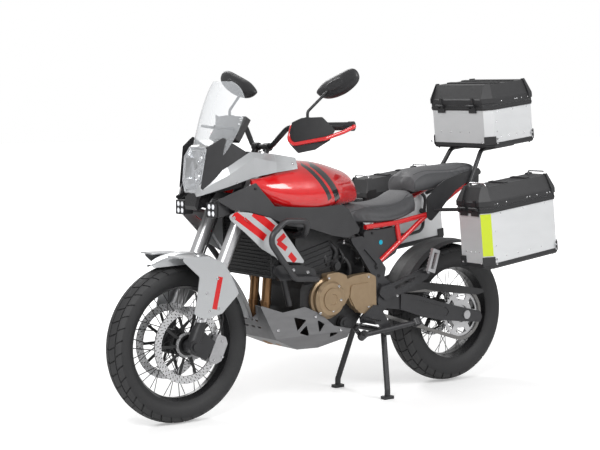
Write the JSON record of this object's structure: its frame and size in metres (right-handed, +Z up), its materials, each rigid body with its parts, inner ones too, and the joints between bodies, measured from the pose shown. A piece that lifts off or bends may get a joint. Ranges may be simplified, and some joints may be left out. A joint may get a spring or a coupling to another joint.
{
  "type": "adventure motorcycle",
  "caption": "Tall road-and-trail motorcycle with wire wheels, long-travel fork, engine bars, hand guards and hard aluminium luggage, parked upright on its centre stand.",
  "frame": {"origin": "on the floor, under the middle of the whole length and width", "axes": "+X forward, +Y to the rider's left, +Z up"},
  "size_m": [2.237, 0.964, 1.4469],
  "materials": {
    "tyre": "matt rubber",
    "hose_rubber": "matt hose",
    "black_rim": "satin black",
    "black_alloy": "satin black",
    "brake_steel": "ground steel",
    "silver_alloy": "satin",
    "silver_anodised": "anodised",
    "chrome_leg": "polished",
    "silver_paint": "satin silver paint",
    "red_guard": "gloss red",
    "black_plastic": "matt moulded",
    "dark_frame": "satin dark grey",
    "red_frame": "gloss red",
    "dark_engine": null,
    "bronze_cover": "satin bronze",
    "header_bronze": "heat-tinted steel",
    "black_mesh": "black core",
    "black_tube": "powder coat",
    "grey_plate": "brushed",
    "red_paint": "gloss red paint",
    "dark_plastic": "grained",
    "lamp_glass": "dark lens",
    "clear_screen": "clear",
    "seat_cover": "grained cover",
    "case_aluminium": "brushed"
  },
  "bodies": {
    "root": {"case_trim": "black_plastic", "cockpit": "black_plastic", "crankcase": "dark_engine", "crash_bars": "black_tube", "drive_chain": "brake_steel", "engine_covers": "bronze_cover", "exhaust": "header_bronze", "fog_lamps": "black_plastic", "footpegs": "black_alloy", "fuel_tank": "red_paint", "headlight": "lamp_glass", "luggage_rack": "black_tube", "main_frame": "dark_frame", "nose_panels": "silver_paint", "pannier_bodies": "case_aluminium", "passenger_seat": "seat_cover", "radiator": "black_mesh", "radiator_shrouds": "silver_paint", "rear_caliper": "silver_alloy", "rear_mudguard": "dark_plastic", "rear_shock": "black_tube", "rider_seat": "seat_cover", "side_panels": "dark_plastic", "skid_plate": "grey_plate", "subframe": "red_frame", "swingarm": "dark_frame", "tail": "dark_plastic", "top_case_body": "case_aluminium", "windscreen": "clear_screen"},
    "steering": {"fork_yokes": "black_alloy", "fork_tubes": "silver_anodised", "fork_legs": "chrome_leg", "front_calipers": "silver_alloy", "front_fender": "silver_paint", "handlebar": "black_alloy", "guard_hoops": "red_guard", "hand_guards": "black_plastic", "mirrors": "black_plastic", "brake_hoses": "hose_rubber"},
    "front_wheel": {"front_tyre": "tyre", "front_rim": "black_rim", "front_hub": "black_alloy", "front_discs": "brake_steel"},
    "rear_wheel": {"rear_tyre": "tyre", "rear_rim": "black_rim", "rear_hub": "black_alloy", "rear_sprocket": "brake_steel", "rear_disc": "brake_steel"},
    "side_stand": {"side_stand": "black_tube"},
    "centre_stand": {"centre_stand": "black_tube"},
    "top_case_lid": {"top_case_lid": "black_plastic"},
    "pannier_left_lid": {"pannier_left_lid": "black_plastic"},
    "pannier_right_lid": {"pannier_right_lid": "black_plastic"}
  },
  "joints": [
    {"name": "steering", "type": "hinge", "parent": "root", "child": "steering", "pos_m": [0.45004, 0, 0.97892], "axis": [-0.4226, 0, 0.9063], "range_deg": [-32, 32]},
    {"name": "front_wheel_spin", "type": "hinge", "parent": "steering", "child": "front_wheel", "pos_m": [0.78951, 0, 0.329], "axis": [0, 1, 0], "continuous": true},
    {"name": "rear_wheel_spin", "type": "hinge", "parent": "root", "child": "rear_wheel", "pos_m": [-0.71049, 0, 0.327], "axis": [0, 1, 0], "continuous": true},
    {"name": "side_stand", "type": "hinge", "parent": "root", "child": "side_stand", "pos_m": [-0.07448, 0.158, 0.296], "axis": [-0.0916, -0.837, -0.5394], "range_deg": [0, 106]},
    {"name": "centre_stand", "type": "hinge", "parent": "root", "child": "centre_stand", "pos_m": [-0.24049, 0, 0.292], "axis": [0, 1, 0], "range_deg": [0, 72]},
    {"name": "top_case_lid", "type": "hinge", "parent": "root", "child": "top_case_lid", "pos_m": [-0.76304, 0, 1.28626], "axis": [0, 1, 0], "range_deg": [0, 80]},
    {"name": "pannier_left_lid", "type": "hinge", "parent": "root", "child": "pannier_left_lid", "pos_m": [-0.47989, 0.389, 0.8428], "axis": [0, 1, 0], "range_deg": [0, 80]},
    {"name": "pannier_right_lid", "type": "hinge", "parent": "root", "child": "pannier_right_lid", "pos_m": [-0.47989, -0.389, 0.8428], "axis": [0, 1, 0], "range_deg": [0, 80]}
  ]
}
